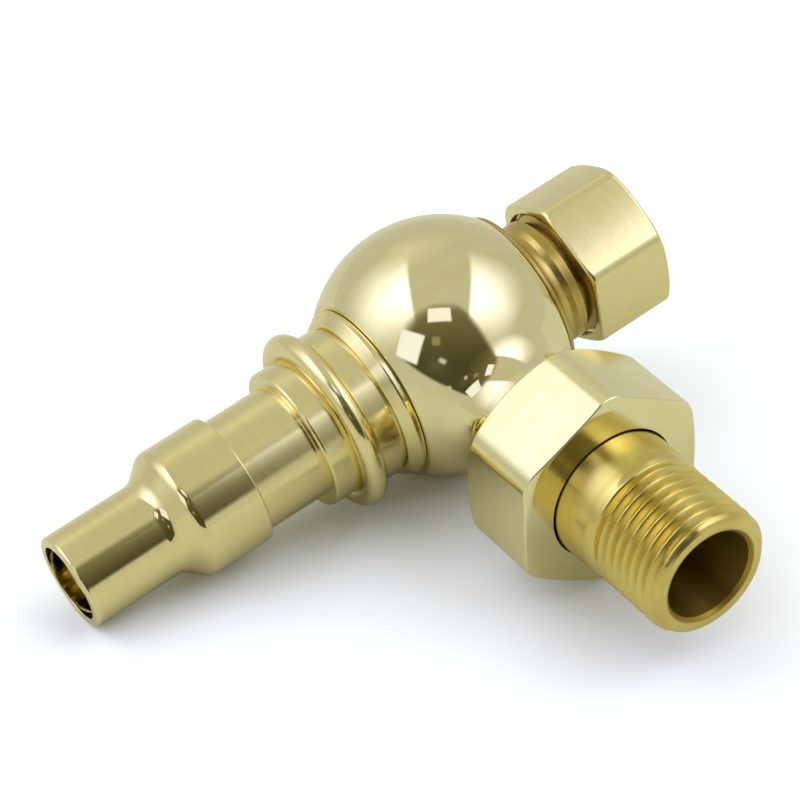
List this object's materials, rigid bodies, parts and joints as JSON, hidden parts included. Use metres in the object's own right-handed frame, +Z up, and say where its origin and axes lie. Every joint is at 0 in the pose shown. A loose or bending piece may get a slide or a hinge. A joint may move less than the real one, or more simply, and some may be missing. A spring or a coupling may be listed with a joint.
{
  "type": "angled radiator valve",
  "caption": "Angled lockshield radiator valve with a ball body, stepped bonnet, pull-off lock shield, compression pipe joint and union tail.",
  "frame": {"origin": "on the table, under the middle of the lying valve's footprint", "axes": "+X along the table from the head to the pipe inlet, +Z up, the radiator tail toward -Y"},
  "size_m": [0.1076, 0.0874, 0.041],
  "materials": {
    "polished_brass": "polished",
    "turned_brass": "as turned",
    "nut_brass": "satin polished",
    "copper": "plain",
    "rubber": "matte",
    "fibre": "pressed fibre",
    "white_plastic": "waxy",
    "spring_steel": "oiled"
  },
  "bodies": {
    "valve": {"valve_body": "polished_brass", "seat_ring": "turned_brass", "bonnet_washer": "fibre", "bonnet": "polished_brass", "packing_rings": "white_plastic", "gland_washer": "turned_brass", "gland_nut": "turned_brass", "gland_o_ring": "rubber", "shield_o_ring": "rubber", "inlet_washer": "fibre", "inlet_adaptor": "turned_brass", "face_washer": "fibre"},
    "shield": {"lock_shield": "polished_brass"},
    "plug": {"jumper": "turned_brass", "seat_washer": "rubber", "washer_nut": "turned_brass"},
    "spindle": {"spindle": "turned_brass", "spindle_clip": "spring_steel"},
    "olive": {"olive": "copper"},
    "inlet_nut": {"compression_nut": "nut_brass"},
    "tail": {"tailpiece": "turned_brass", "tail_o_ring": "rubber", "slip_washer": "white_plastic"},
    "tail_nut": {"union_nut": "nut_brass"}
  },
  "joints": [
    {"name": "shield_pull", "type": "slide", "parent": "valve", "child": "shield", "axis": [-0.9826, 0, -0.1858], "range_m": [0, 0.012]},
    {"name": "plug_travel", "type": "slide", "parent": "valve", "child": "plug", "axis": [0.9826, 0, 0.1858], "range_m": [0, 0.0045]},
    {"name": "spindle_turn", "type": "hinge", "parent": "plug", "child": "spindle", "pos_m": [0.01623, 0.02316, 0.0205], "axis": [0.9826, 0, 0.1858], "range_deg": [0, 1080.5]},
    {"name": "olive_travel", "type": "slide", "parent": "valve", "child": "olive", "axis": [0.9826, 0, 0.1858], "range_m": [0, 0.00546]},
    {"name": "nut_turn", "type": "hinge", "parent": "olive", "child": "inlet_nut", "pos_m": [0.01623, 0.02316, 0.0205], "axis": [0.9826, 0, 0.1858], "range_deg": [0, 1080]},
    {"name": "tail_travel", "type": "slide", "parent": "valve", "child": "tail", "axis": [0.0102, -0.9985, -0.0538], "range_m": [0, 0.00546]},
    {"name": "union_turn", "type": "hinge", "parent": "tail", "child": "tail_nut", "pos_m": [0.01623, 0.02316, 0.0205], "axis": [0.0102, -0.9985, -0.0538], "range_deg": [0, 1080]}
  ],
  "couplings": [
    {"joint": "spindle_turn", "follows": "plug_travel", "rad_per_m": 4188.8},
    {"joint": "olive_travel", "follows": "nut_turn", "m_per_rad": 0.00028876},
    {"joint": "tail_travel", "follows": "union_turn", "m_per_rad": 0.00028876}
  ]
}
